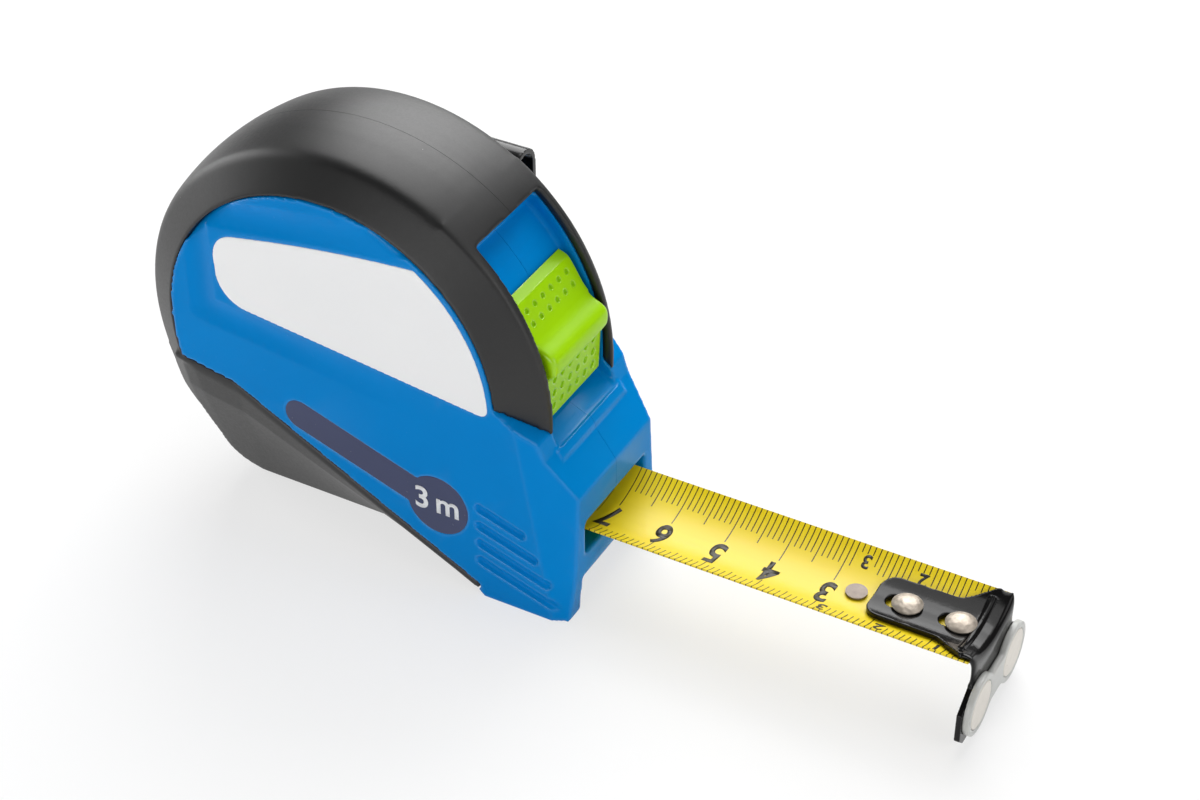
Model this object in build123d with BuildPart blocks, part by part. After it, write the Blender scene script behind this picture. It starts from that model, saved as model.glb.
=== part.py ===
from build123d import *
import os
from math import asin, cos, degrees, hypot, pi, radians, sin, sqrt

os.makedirs("parts", exist_ok=True)

# All sizes are in millimetres. The origin lies on the base plane below the reel axis, in the plane
# where the two case halves meet. +X runs out of the mouth, +Y to the clip side, +Z up.

# Tape and its winding
tape_length = 3000.0
tape_out = 70.0
tape_width = 19.0
tape_camber = 2.7
tape_thick = 0.3
layer_pitch = 0.276
coil_gap = 0.2
hub_wall = 1.4
flange_rim = 2.625
flange_thick = 1.2
flange_gap = 0.5
reel_gap = 0.6

# Round case and its rubber skin
case_r = 38.4
case_half = 16.2
dome_swell = 2.38
dome_back = 1.76
dome_down = 1.21
crown_drop = 2.65
band_width = 6.44
band_back = 1.89
band_up = 0.04
band_slope = 0.68
skin = 1.6
rim_wall = 2.5
cavity_gap = 0.6

# Nose, mouth and chin, measured forward from the round case or up from the mouth
nose_reach = 5.8
tip_setback = 0.7
nose_face = 6.2
ledge_back = 5.4
ledge_rise = 7.3
ledge_round = 1.0
cheek_step = 1.2
cheek_length = 8.0
facet_top = 3.6
facet_tip = 1.2
facet_back = 10.2
mouth_side = 1.0
mouth_over = 2.0
mouth_under = 1.7
chin_drop = 3.8
chin_depth = 12.0
tip_thick = 3.6

# Lower grip below the side panel
grip_drop = 15.0
grip_rear_out = 0.6
grip_corner_in = 5.1
grip_corner_rise = 5.4
grip_kink_in = 16.9
grip_kink_fall = 2.5
grip_front_back = 17.9
grip_front_z = 0.85
grip_base_half = 6.0
grip_rear_taper = 5.4
grip_corner_taper = 0.5
heel_in = 6.6
heel_r = 8.0
heel_waist_out = 1.9
heel_waist_up = 8.0

# Thumb lock
channel_half = 9.9
channel_depth = 4.9
channel_top = 50.0
ledge_angle = -6.0
button_half = 9.1
button_gap = 0.4
button_low = -4.5
button_high = 33.5
button_pad = 1.3
button_lip = 5.4
button_round = 0.8
lock_travel = 12.0
stem_half = 2.6
stem_low = 9.5
stem_high = 19.0
arm_thick = 2.6
arm_half = 4.0
arm_gap = 1.6
arm_clear = 0.8
pad_height = 2.65
pad_length = 4.2
pad_gap = 0.5

# Reel bearing and spring
post_r = 4.0
post_socket = 1.2
bearing_gap = 0.08
bearing_wall = 1.6
spring_thick = 0.4
spring_turns = 8
spring_half = 7.5
spring_gap = 0.4

# End hook, its rivets and magnets
hook_thick = 1.0
hook_length = 22.5
hook_half = 5.2
hook_flare = 7.0
hook_foot_half = 12.7
hook_waist_half = 8.8
hook_lift = 0.8
hook_gap = 0.1
hook_bend = 0.9
rivet_r = 1.4
rivet_head_r = 2.6
rivet_head = 1.1
rivet_back = 16.5
rivet_front = 7.2
stop_clear = 2.9
stop_head_r = 1.85
stop_head = 0.5
strip_half = 4.6
strip_thick = 0.4
strip_margin = 3.0
tail_r = 2.0
tail_thick = 0.5
carrier_thick = 1.2
carrier_r = 5.4
carrier_neck = 3.0
magnet_r = 4.2
magnet_spacing = 14.0

# Fasteners and clip
screw_r = 1.3
screw_head_r = 2.1
screw_head = 1.8
screw_seat = 8.0
screw_bite = 8.0
clip_x = 9.5
clip_width = 13.0
clip_thick = 1.0
clip_gap = 5.0
clip_drop = 10.4
clip_rise = 28.1
clip_free_drop = 14.4
clip_flare = 1.6
clip_screw_up = 4.5
clip_screw_web = 0.8
clip_head_r = 2.4
clip_head = 0.7
clip_access_r = 3.2
fit_gap = 0.1

# Inlaid plates and side grooves
plate_thick = 0.5
plate_margin = 0.9
wing_low_turn = 0.5
wing_high_turn = 54.3
wing_tail_high_in = 9.3
wing_tail_low_in = 9.6
wing_tail_height = 12.7
wing_rise = 6.4
wing_swell = 0.8
wing_round_high = 5.0
wing_round_low = 6.5
wing_round_front = 1.5
bar_back = 6.7
bar_below = 12.6
bar_run = 27.2
bar_fall = 9.2
bar_half = 3.0
disc_r = 6.0
groove_count = 4
groove_in = 8.7
groove_up = 4.4
groove_step_x = 2.4
groove_step_z = 4.55
groove_rear_gap = 0.6
groove_slope = 0.32
groove_width = 1.3
groove_depth = 0.7

# Places that follow from the sizes above
reel_z = case_r
panel_r = case_r - band_width
dome_r = case_r + dome_swell
track_r = case_r - channel_depth
cavity_r = track_r - rim_wall
arm_r = cavity_r - arm_gap
flange_r = arm_r - arm_thick - arm_clear
coil_r = flange_r - flange_rim
wound = tape_length - tape_out
hub_r = sqrt(coil_r**2 - wound * layer_pitch / pi)
tape_top = reel_z - coil_r - coil_gap
tape_low = tape_top - tape_thick
trough_low = tape_low - tape_camber / 4
trough_r = ((tape_width / 2) ** 2 + tape_camber**2) / (2 * tape_camber)
trough_centre = trough_low + trough_r
trough_top = trough_low + tape_thick
edge_top = trough_low + tape_camber + tape_thick
mouth_top = edge_top + mouth_over
mouth_low = trough_low - mouth_under
chin_z = mouth_low - chin_drop
nose_x = case_r + nose_reach
tip_x = nose_x - tip_setback
nose_top = mouth_top + nose_face
ledge_x = nose_x - ledge_back
ledge_z = nose_top + ledge_rise
reel_half = tape_width / 2 + flange_gap
cavity_half = reel_half + flange_thick + reel_gap
side_wall = case_half - cavity_half
mouth_half = tape_width / 2 + mouth_side
grip_rear_x = -case_r - grip_rear_out
grip_rear_z = reel_z - grip_drop
grip_corner_x = grip_corner_in - case_r
grip_corner_z = grip_rear_z + grip_corner_rise
grip_kink_x = grip_kink_in - case_r
grip_kink_z = grip_corner_z - grip_kink_fall
grip_front_x = nose_x - grip_front_back
heel_x = heel_in - case_r
pad_low = tape_top + pad_gap
arm_end = -degrees(asin((reel_z - pad_low - pad_height) / arm_r))
clip_screw_bite = side_wall - clip_screw_web
clip_low = reel_z - clip_drop
clip_top = reel_z + clip_rise
clip_free_low = reel_z - clip_free_drop
tape_zero = nose_x + tape_out
hook_x = tape_zero - carrier_thick - hook_thick
hook_float = carrier_thick + hook_thick
dome_x = -dome_back
dome_z = reel_z - dome_down
dome_rear = dome_r + dome_back
band_x = -band_back
band_z = reel_z + band_up
reel_axis = Axis((0, 0, reel_z), (0, 1, 0))
dome_axis = Axis((dome_x, 0, dome_z), (0, 1, 0))
band_axis = Axis((band_x, 0, band_z), (0, 1, 0))
lower_line = [
    (grip_rear_x, grip_rear_z),
    (grip_corner_x, grip_corner_z),
    (grip_kink_x, grip_kink_z),
    (grip_front_x, grip_front_z),
]
far = 3 * case_r


def polar(radius, angle):
    """Point of the side view at a radius and an angle about the reel axis."""
    return (radius * cos(radians(angle)), reel_z + radius * sin(radians(angle)))


def lower_edge(x):
    """Height of the side panel's lower edge at a place along the case."""
    if x < grip_rear_x:
        return grip_rear_z
    for (x0, z0), (x1, z1) in zip(lower_line, lower_line[1:]):
        if x <= x1:
            return z0 + (x - x0) / (x1 - x0) * (z1 - z0)
    return grip_front_z


def side_face(points):
    """Straight-sided face drawn in the side view."""
    with BuildSketch(Plane.XZ) as face:
        with BuildLine():
            Polyline(*points, close=True)
        make_face()
    return face.sketch


def sector(inner, outer, low, high):
    """Piece of a ring about the reel axis, drawn in the side view between two angles."""
    middle = (low + high) / 2
    with BuildSketch(Plane.XZ) as face:
        with BuildLine():
            ThreePointArc(polar(inner, low), polar(inner, middle), polar(inner, high))
            Line(polar(inner, high), polar(outer, high))
            ThreePointArc(polar(outer, high), polar(outer, middle), polar(outer, low))
            Line(polar(outer, low), polar(inner, low))
        make_face()
    return face.sketch


def below_panel():
    """Everything below the side panel's lower edge, in the side view."""
    return side_face(
        [
            (-far, grip_rear_z),
            *lower_line,
            (far, grip_front_z),
            (far, -far),
            (-far, -far),
        ]
    )


def round_case(inset):
    """Near half of the round case with its domed crown and bevelled band, set in by a skin."""
    crown_r = dome_r - inset
    bevel_shift = inset * sqrt(1 + band_slope**2)
    inner = panel_r - band_width
    outer = panel_r + 3 * band_width
    with BuildPart() as body:
        with BuildSketch(Plane((dome_x, 0, dome_z), x_dir=(1, 0, 0), z_dir=(0, 0, 1))):
            with BuildLine():
                Polyline((crown_r, 0), (0, 0), (0, -case_half), (crown_r - crown_drop, -case_half))
                TangentArc((crown_r, 0), (crown_r - crown_drop, -case_half), tangent=(0, -1))
            make_face()
        revolve(axis=dome_axis)
        with BuildSketch(Plane((band_x, 0, band_z), x_dir=(1, 0, 0), z_dir=(0, 0, 1))):
            with BuildLine():
                Polyline(
                    (inner, bevel_shift - case_half + band_slope * (inner - panel_r)),
                    (outer, bevel_shift - case_half + band_slope * (outer - panel_r)),
                    (outer, -2 * case_half),
                    (inner, -2 * case_half),
                    close=True,
                )
            make_face()
        revolve(axis=band_axis, mode=Mode.SUBTRACT)
        extrude(below_panel(), amount=far, mode=Mode.SUBTRACT)
    return body.part


def lower_grip(inset):
    """Near half of the tapering lower body behind and below the side panel, set in by a skin."""
    front_x = grip_front_x - inset * 5
    foot_x = heel_x + heel_r + inset
    waist_x = heel_x - heel_waist_out
    waist_z = heel_r + heel_waist_up
    heel_slope = (waist_x - grip_rear_x) / (grip_rear_z - waist_z)
    stations = {
        inset - dome_rear: case_half - 1.4 * grip_rear_taper,
        grip_rear_x + inset: case_half - grip_rear_taper,
        grip_corner_x + inset / 2: case_half - grip_corner_taper,
        grip_corner_x + 3: case_half,
        grip_kink_x: case_half,
        front_x: case_half,
    }
    with BuildPart() as body:
        for x, half in stations.items():
            top = lower_edge(x)
            crease_y = grip_base_half + 0.86 * (half - grip_base_half)
            crease_z = inset + 0.79 * (top - inset)
            with BuildSketch(Plane.YZ.offset(x)):
                with BuildLine():
                    Polyline(
                        (0, inset),
                        (inset / 2 - grip_base_half, inset),
                        (inset - crease_y, crease_z),
                        (inset - half, top),
                        (0, top),
                        close=True,
                    )
                make_face()
        loft(ruled=True)
        with BuildSketch(Plane.XZ):
            with BuildLine():
                Polyline(
                    (heel_x + inset, heel_r + inset),
                    (waist_x + inset, waist_z),
                    (grip_rear_x + inset - heel_slope, grip_rear_z + 1),
                    (far, far),
                    (far, inset),
                    (foot_x, inset),
                )
                TangentArc((foot_x, inset), (heel_x + inset, heel_r + inset), tangent=(-1, 0))
            make_face()
        extrude(amount=far, mode=Mode.INTERSECT)
    return body.part


def channel():
    """Side view of the open channel that the thumb button slides in."""
    foot = polar(track_r, ledge_angle)
    head = polar(track_r, channel_top)
    fall = (ledge_z - foot[1]) / (ledge_x - foot[0])
    with BuildSketch(Plane.XZ) as face:
        with BuildLine():
            ThreePointArc(foot, polar(track_r, (ledge_angle + channel_top) / 2), head)
            Polyline(head, polar(far, channel_top), (far, far), (far, foot[1] + fall * (far - foot[0])), foot)
        make_face()
    return face.sketch


def trough_band(x, inner, outer, half):
    """Cross-section of a thin band curved like the tape, between two radii about the trough's centre."""
    turn = asin(half / outer)
    ends = {}
    with BuildSketch(Plane.YZ.offset(x)) as face:
        with BuildLine():
            for radius in (inner, outer):
                side = radius * sin(turn)
                rise = trough_centre - radius * cos(turn)
                ThreePointArc((-side, rise), (0, trough_centre - radius), (side, rise))
                ends[radius] = (side, rise)
            for sign in (-1, 1):
                Line((sign * ends[inner][0], ends[inner][1]), (sign * ends[outer][0], ends[outer][1]))
        make_face()
    return face.sketch


def rivet(head_r, head_height, seat_z, dome):
    """Rivet on the vertical axis: head on its seat, shank through the tape, tail below the strip."""
    tail_z = trough_low - strip_thick
    head_z = seat_z + head_height
    with BuildPart() as body:
        with BuildSketch(Plane.XZ):
            with BuildLine():
                Polyline(
                    (0, head_z),
                    (0, tail_z - tail_thick),
                    (tail_r, tail_z - tail_thick),
                    (tail_r, tail_z),
                    (rivet_r, tail_z),
                    (rivet_r, seat_z),
                    (head_r, seat_z),
                    (head_r, head_z - dome),
                )
                TangentArc((0, head_z), (head_r, head_z - dome), tangent=(1, 0))
            make_face()
        revolve(axis=Axis.Z)
    return body.part


# Nose block: sloping front, front face, pointed side tips and the raised chin between them
with BuildPart() as nose:
    nose_side = side_face(
        [
            (grip_front_x + grip_front_z, 0),
            (tip_x, 0),
            (nose_x, chin_z),
            (nose_x, nose_top),
            (ledge_x, ledge_z),
            (ledge_x - cheek_step, ledge_z + 2.6 * cheek_step),
            (ledge_x - cheek_length, ledge_z + cheek_length),
            (0, reel_z + case_r / 3),
            (grip_kink_x - 4, reel_z - 8),
            (grip_kink_x, grip_kink_z),
            (grip_front_x, grip_front_z),
        ]
    )
    extrude(nose_side, amount=case_half)
    facet_run = Vector(-facet_back, -facet_top, 1.25 * facet_back)
    facet_fall = Vector(tip_x - nose_x, facet_tip - facet_top, -nose_top)
    facet = Plane((nose_x, facet_top - case_half, nose_top), x_dir=facet_run, z_dir=facet_run.cross(facet_fall))
    split(bisect_by=facet, keep=Keep.BOTTOM)
    chin_side = side_face(
        [
            (nose_x - chin_depth, -1),
            (nose_x - chin_depth, 0),
            (nose_x + 1, chin_z),
            (nose_x + 1, -1),
        ]
    )
    extrude(chin_side, amount=case_half - facet_tip - tip_thick, mode=Mode.SUBTRACT)

# Outer form of one case half, and the hard core that the rubber skin is moulded over
with BuildPart() as outer_half:
    add(round_case(0))
    add(lower_grip(0))
    add(nose.part)

with BuildPart() as panel:
    with BuildSketch(Plane.XZ):
        with Locations((band_x, band_z)):
            Circle(panel_r)
    extrude(amount=case_half)
    extrude(below_panel(), amount=far, mode=Mode.SUBTRACT)

with BuildPart() as core_half:
    add(round_case(skin))
    add(lower_grip(skin))
    add(panel.part)
    add(nose.part)
    add(outer_half.part, mode=Mode.INTERSECT)

# Rubber skin of one half
with BuildPart() as grip_half:
    add(outer_half.part)
    add(core_half.part, mode=Mode.SUBTRACT)
    extrude(channel(), amount=channel_half, mode=Mode.SUBTRACT)

# Hard shell of one half: reel chamber, tape tunnel, thumb channel and side grooves
groove_rear_x = grip_front_x + groove_rear_gap
with BuildPart() as shell_half:
    add(core_half.part)
    extrude(channel(), amount=channel_half, mode=Mode.SUBTRACT)
    rooms = {
        cavity_r: arm_half + cavity_gap,
        flange_r + cavity_gap: cavity_half,
        post_r: cavity_half + post_socket,
    }
    for radius, depth in rooms.items():
        with BuildSketch(Plane.XZ):
            with Locations((0, reel_z)):
                Circle(radius)
        extrude(amount=depth, mode=Mode.SUBTRACT)
    tunnel = side_face(
        [
            (0, mouth_low),
            (nose_x + 1, mouth_low),
            (nose_x + 1, mouth_top),
            (0, mouth_top),
        ]
    )
    extrude(tunnel, amount=mouth_half, mode=Mode.SUBTRACT)
    stem_slot = sector(cavity_r - 1, track_r + 1, stem_low - 1, stem_high + lock_travel + 1)
    extrude(stem_slot, amount=stem_half + 2 * fit_gap, mode=Mode.SUBTRACT)
    fillet(shell_half.edges().sort_by_distance((ledge_x, -channel_half / 2, ledge_z))[0], ledge_round)
    for row in range(groove_count):
        front_x = tip_x - groove_in + groove_step_x * row
        front_z = mouth_low + groove_up - groove_step_z * row
        half_run = (front_x - groove_rear_x) / 2
        with BuildSketch(Plane.XZ.offset(case_half)):
            middle = (groove_rear_x + half_run, front_z + groove_slope * half_run)
            SlotCenterPoint(middle, (front_x, front_z), groove_width)
        extrude(amount=-groove_depth, mode=Mode.SUBTRACT)

# Case screws run from the clip side across the joint plane
screw_ring_r = (cavity_r + case_r - skin) / 2
screw_places = [polar(screw_ring_r, angle) for angle in (62, 125, 232)]
screw_places.append((grip_front_x - 4.3, mouth_low / 2 + 0.4))
clip_screw_z = clip_low + clip_screw_up

# White inlay on the near side: a wing bounded by the band's own curve
plate_r = panel_r - plate_margin
with BuildSketch(Plane.XZ.offset(case_half)) as wing:
    with BuildLine():
        wing_turns = (wing_low_turn, (wing_low_turn + wing_high_turn) / 2, wing_high_turn)
        wing_low, wing_mid, wing_high = [
            (band_x + plate_r * cos(radians(turn)), band_z + plate_r * sin(radians(turn))) for turn in wing_turns
        ]
        wing_tail_low = (band_x - plate_r + wing_tail_low_in, wing_low[1] + wing_rise)
        wing_tail_high = (band_x - plate_r + wing_tail_high_in, wing_tail_low[1] + wing_tail_height)
        wing_top = ((wing_high[0] + wing_tail_high[0]) / 2, (wing_high[1] + wing_tail_high[1]) / 2 + wing_swell)
        ThreePointArc(wing_low, wing_mid, wing_high)
        ThreePointArc(wing_high, wing_top, wing_tail_high)
        Polyline(wing_tail_high, wing_tail_low, wing_low)
    make_face()
    fillet(wing.vertices().group_by(Axis.X)[0], wing_round_high)
    tail_corner = (wing_tail_low[0], -case_half, wing_tail_low[1])
    fillet(wing.vertices().sort_by_distance(tail_corner)[0], wing_round_low)
    front_corner = (wing_low[0], -case_half, wing_low[1])
    fillet(wing.vertices().sort_by_distance(front_corner)[0], wing_round_front)
with BuildPart() as side_plate:
    extrude(wing.sketch, amount=-plate_thick)

# Dark inlay below it: a sloping bar that ends in a disc
bar_rear = (band_x - bar_back, reel_z - bar_below)
bar_front = (bar_rear[0] + bar_run, bar_rear[1] - bar_fall)
with BuildSketch(Plane.XZ.offset(case_half)) as bar:
    bar_middle = ((bar_rear[0] + bar_front[0]) / 2, (bar_rear[1] + bar_front[1]) / 2)
    SlotCenterPoint(bar_middle, bar_front, 2 * bar_half)
    with Locations(bar_front):
        Circle(disc_r)
with BuildPart() as size_plate:
    extrude(bar.sketch, amount=-plate_thick)

with BuildPart() as near_shell:
    add(shell_half.part)
    add(side_plate.part, mode=Mode.SUBTRACT)
    add(size_plate.part, mode=Mode.SUBTRACT)
    with BuildSketch(Plane.XZ):
        with Locations(*screw_places):
            Circle(screw_r)
    extrude(amount=screw_bite, mode=Mode.SUBTRACT)

with BuildPart() as far_shell:
    mirror(shell_half.part, about=Plane.XZ)
    with BuildSketch(Plane.XZ):
        with Locations(*screw_places):
            Circle(screw_r + fit_gap)
    extrude(amount=-far, mode=Mode.SUBTRACT)
    with BuildSketch(Plane.XZ.offset(-screw_seat)):
        with Locations(*screw_places):
            Circle(screw_head_r + 2 * fit_gap)
    extrude(amount=-far, mode=Mode.SUBTRACT)
    with BuildSketch(Plane.XZ.offset(-case_half)):
        with Locations((clip_x, clip_screw_z)):
            Circle(screw_r)
    extrude(amount=clip_screw_bite, mode=Mode.SUBTRACT)

with BuildPart() as near_grip:
    add(grip_half.part)

with BuildPart() as far_grip:
    mirror(grip_half.part, about=Plane.XZ)
    with BuildSketch(Plane.XZ):
        with Locations(*screw_places):
            Circle(screw_head_r + 2 * fit_gap)
    extrude(amount=-far, mode=Mode.SUBTRACT)

with BuildPart() as case_screws:
    with BuildSketch(Plane.XZ.offset(-screw_seat)):
        with Locations(*screw_places):
            Circle(screw_r)
    extrude(amount=screw_seat + screw_bite)
    with BuildSketch(Plane.XZ.offset(-screw_seat)):
        with Locations(*screw_places):
            Circle(screw_head_r)
    extrude(amount=-screw_head)

# Fixed post with a slot for the spring's inner end
with BuildPart() as centre_post:
    with BuildSketch(Plane.XZ):
        with Locations((0, reel_z)):
            Circle(post_r)
    extrude(amount=cavity_half + post_socket, both=True)
    with BuildSketch(Plane.XZ):
        with Locations((post_r / 2, reel_z + spring_thick / 2)):
            Rectangle(2 * post_r, 2 * spring_thick + spring_gap)
    extrude(amount=spring_half + spring_gap, both=True, mode=Mode.SUBTRACT)

# Reel: hub, one flange and its bearing sleeve; the cover is the other flange
bore_r = post_r + bearing_gap
sleeve_r = bore_r + bearing_wall
room_r = hub_r - hub_wall
sleeve_end = spring_half + spring_gap
with BuildPart() as reel:
    with BuildSketch(Plane.XY.offset(reel_z)):
        with BuildLine():
            Polyline(
                (bore_r, reel_half + flange_thick),
                (flange_r, reel_half + flange_thick),
                (flange_r, reel_half),
                (hub_r, reel_half),
                (hub_r, -reel_half),
                (room_r, -reel_half),
                (room_r, reel_half),
                (sleeve_r, reel_half),
                (sleeve_r, sleeve_end),
                (bore_r, sleeve_end),
                close=True,
            )
        make_face()
    revolve(axis=reel_axis)

with BuildPart() as reel_cover:
    with BuildSketch(Plane.XY.offset(reel_z)):
        with BuildLine():
            Polyline(
                (bore_r, -reel_half - flange_thick),
                (flange_r, -reel_half - flange_thick),
                (flange_r, -reel_half),
                (sleeve_r, -reel_half),
                (sleeve_r, -sleeve_end),
                (bore_r, -sleeve_end),
                close=True,
            )
        make_face()
    revolve(axis=reel_axis)

# Spiral return spring: half-circle turns about two centres, with a tab in the post's slot
spring_in = bore_r + spring_gap
spring_out = room_r - spring_gap
spring_pitch = (spring_out - spring_in - spring_thick) / spring_turns
with BuildPart() as return_spring:
    with BuildSketch(Plane.XZ):
        with BuildLine():
            for offset_r in (0, spring_thick):
                for half_turn in range(2 * spring_turns):
                    sign = 1 if half_turn % 2 == 0 else -1
                    start_r = spring_in + offset_r + half_turn * spring_pitch / 2
                    turn_r = start_r + spring_pitch / 4
                    centre_x = -sign * spring_pitch / 4
                    ThreePointArc(
                        (sign * start_r, reel_z),
                        (centre_x, reel_z + sign * turn_r),
                        (-sign * (start_r + spring_pitch / 2), reel_z),
                    )
            Line((spring_in, reel_z), (spring_in + spring_thick, reel_z))
            end_r = spring_in + spring_turns * spring_pitch
            Line((end_r, reel_z), (end_r + spring_thick, reel_z))
        make_face()
        with Locations((spring_in / 2, reel_z + spring_thick / 2)):
            Rectangle(spring_in + spring_thick, spring_thick)
    extrude(amount=spring_half, both=True)

with BuildPart() as tape_coil:
    with BuildSketch(Plane.XZ):
        with Locations((0, reel_z)):
            Circle(coil_r)
            Circle(hub_r, mode=Mode.SUBTRACT)
    extrude(amount=tape_width / 2, both=True)

# Tape blade: flat where it leaves the coil, curved into a trough from the mouth on
trough_start = nose_x - 10
blade_end = hook_x - 2 * hook_gap
rivet_places = [(tape_zero - rivet_back, 0), (tape_zero - rivet_front, 0)]
stop_place = (tape_zero - hook_length - stop_clear, 0)
blade_section = trough_band(trough_start, trough_r - tape_thick, trough_r, tape_width / 2)
with BuildPart() as tape_blade:
    with BuildSketch(Plane.YZ) as flat_section:
        with Locations((0, tape_low + tape_thick / 2)):
            Rectangle(tape_width, tape_thick)
    loft(sections=[flat_section.sketch, blade_section])
    extrude(blade_section, amount=blade_end - trough_start)
    with BuildSketch(Plane.XY):
        with Locations(*rivet_places, stop_place):
            Circle(rivet_r)
    extrude(amount=reel_z, mode=Mode.SUBTRACT)

strip_start = stop_place[0] - strip_margin
with BuildPart() as blade_end_strip:
    strip_section = trough_band(strip_start, trough_r, trough_r + strip_thick, strip_half)
    extrude(strip_section, amount=blade_end - strip_start - 1)
    with BuildSketch(Plane.XY):
        with Locations(*rivet_places, stop_place):
            Circle(rivet_r)
    extrude(amount=reel_z, mode=Mode.SUBTRACT)

# Sliding end hook: trough-shaped tongue with two slots, and a drop plate
tongue_x = tape_zero - hook_length
tongue_out = trough_r - tape_thick - hook_gap
tongue_top = trough_top + hook_gap + hook_thick
flare_half = tape_width / 2 - 0.3
tongue_in = tongue_out - hook_thick
shoulder_z = trough_centre - sqrt(tongue_in**2 - flare_half**2)
magnet_z = hook_lift + carrier_r + 0.5
with BuildPart() as end_hook:
    extrude(trough_band(tongue_x, tongue_in, tongue_out, flare_half), amount=hook_x + hook_thick - tongue_x)
    with BuildSketch(Plane.XY) as tongue_plan:
        with BuildLine():
            Polyline(
                (tongue_x, -hook_half),
                (hook_x - hook_flare, -hook_half),
                (hook_x - 1.5, -flare_half),
                (hook_x + hook_thick, -flare_half),
                (hook_x + hook_thick, flare_half),
                (hook_x - 1.5, flare_half),
                (hook_x - hook_flare, hook_half),
                (tongue_x, hook_half),
                close=True,
            )
        make_face()
        fillet(tongue_plan.vertices().group_by(Axis.X)[0], 3.0)
        fillet(tongue_plan.vertices().filter_by_position(Axis.X, hook_x - hook_flare - 0.1, hook_x - hook_flare + 0.1), 4.0)
    extrude(amount=reel_z, mode=Mode.INTERSECT)
    with BuildSketch(Plane.XY):
        for place in rivet_places:
            with Locations((place[0] - hook_float / 2, 0)):
                SlotCenterToCenter(hook_float, 2 * (rivet_r + fit_gap))
    extrude(amount=reel_z, mode=Mode.SUBTRACT)
    with BuildSketch(Plane.YZ.offset(hook_x)):
        with BuildLine():
            ThreePointArc((-flare_half, shoulder_z), (0, tongue_top), (flare_half, shoulder_z))
            for sign in (-1, 1):
                Polyline(
                    (sign * flare_half, shoulder_z),
                    (sign * hook_waist_half, magnet_z + carrier_r + 1),
                    (sign * hook_waist_half, magnet_z + carrier_r - 1),
                    (sign * hook_foot_half, magnet_z + 1.5),
                    (sign * hook_foot_half, hook_lift + 2),
                    (sign * (hook_foot_half - 2), hook_lift),
                )
            Line((2 - hook_foot_half, hook_lift), (hook_foot_half - 2, hook_lift))
        make_face()
    extrude(amount=hook_thick)
    fillet(end_hook.edges().sort_by_distance((hook_x + hook_thick, 0, tongue_top))[0], hook_bend)

with BuildPart() as hook_rivets:
    with Locations(*[(x, y, 0) for x, y in rivet_places]):
        add(rivet(rivet_head_r, rivet_head, tongue_top + 3 * hook_gap, 0.8 * rivet_head))

with BuildPart() as stop_rivet:
    with Locations((stop_place[0], stop_place[1], 0)):
        add(rivet(stop_head_r, stop_head, trough_top + 2 * hook_gap, 0.3 * stop_head))

# Magnet carrier on the hook's outer face, with its two disc magnets
magnet_places = [(-magnet_spacing / 2, magnet_z), (magnet_spacing / 2, magnet_z)]
with BuildPart() as magnet_carrier:
    with BuildSketch(Plane.YZ.offset(hook_x + hook_thick)) as carrier_face:
        with Locations(*magnet_places):
            Circle(carrier_r)
        with Locations((0, magnet_z)):
            Rectangle(magnet_spacing, 2 * carrier_neck)
        necks = carrier_face.vertices().filter_by_position(Axis.Y, -magnet_spacing / 2, magnet_spacing / 2)
        fillet(necks, carrier_neck)
        with Locations(*magnet_places):
            Circle(magnet_r, mode=Mode.SUBTRACT)
    extrude(amount=carrier_thick)

with BuildPart() as hook_magnets:
    with BuildSketch(Plane.YZ.offset(hook_x + hook_thick)):
        with Locations(*magnet_places):
            Circle(magnet_r)
    extrude(amount=carrier_thick)

# Thumb button on its curved track, drawn in polar steps: top ridge, dished pad, lip, lower pad
button_r = track_r + button_gap
with BuildPart() as lock_button:
    with BuildSketch(Plane.XZ):
        with BuildLine():
            lip_r = button_r + button_lip
            pad_r = button_r + button_pad
            span = button_high - button_low
            ThreePointArc(
                polar(button_r, button_low),
                polar(button_r, button_low + span / 2),
                polar(button_r, button_high),
            )
            Line(polar(button_r, button_high), polar(pad_r, button_low + 0.93 * span))
            Spline(
                polar(pad_r, button_low + 0.93 * span),
                polar(pad_r + 0.25, button_low + 0.82 * span),
                polar(pad_r + 0.6, button_low + 0.70 * span),
                polar(pad_r + 1.6, button_low + 0.61 * span),
                polar(lip_r - 0.7, button_low + 0.545 * span),
                polar(lip_r, button_low + 0.49 * span),
            )
            Polyline(
                polar(lip_r, button_low + 0.49 * span),
                polar(lip_r - 0.7, button_low + 0.385 * span),
                polar(pad_r + 1.7, button_low + 0.365 * span),
                polar(pad_r + 0.9, button_low + 0.013 * span),
                polar(button_r, button_low),
            )
        make_face()
    extrude(amount=button_half, both=True)
    for height, share in ((0, 0.49), (-0.7, 0.385)):
        crest = polar(lip_r + height, button_low + share * span)
        fillet(lock_button.edges().sort_by_distance((crest[0], 0, crest[1]))[0], button_round)
    ends = lock_button.faces().sort_by(Axis.Y)
    rims = [edge for end in (ends[0], ends[-1]) for edge in end.edges()]
    raised = [edge for edge in rims if hypot(edge.center().X, edge.center().Z - reel_z) > button_r + 0.9]
    fillet(raised, button_round / 2)
    stem = sector(arm_r, button_r + button_gap, stem_low, stem_high)
    extrude(stem, amount=stem_half, both=True)

with BuildPart() as brake_arm:
    extrude(sector(arm_r - arm_thick, arm_r, arm_end, stem_high), amount=arm_half, both=True)

with BuildPart() as brake_pad:
    pad_inner = polar(arm_r - arm_thick, arm_end)
    pad_outer = polar(arm_r, arm_end)
    pad_front = pad_outer[0] - 0.5
    pad_side = side_face([pad_inner, pad_outer, (pad_front, pad_low), (pad_front - pad_length, pad_low)])
    extrude(pad_side, amount=arm_half - 0.5, both=True)

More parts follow.
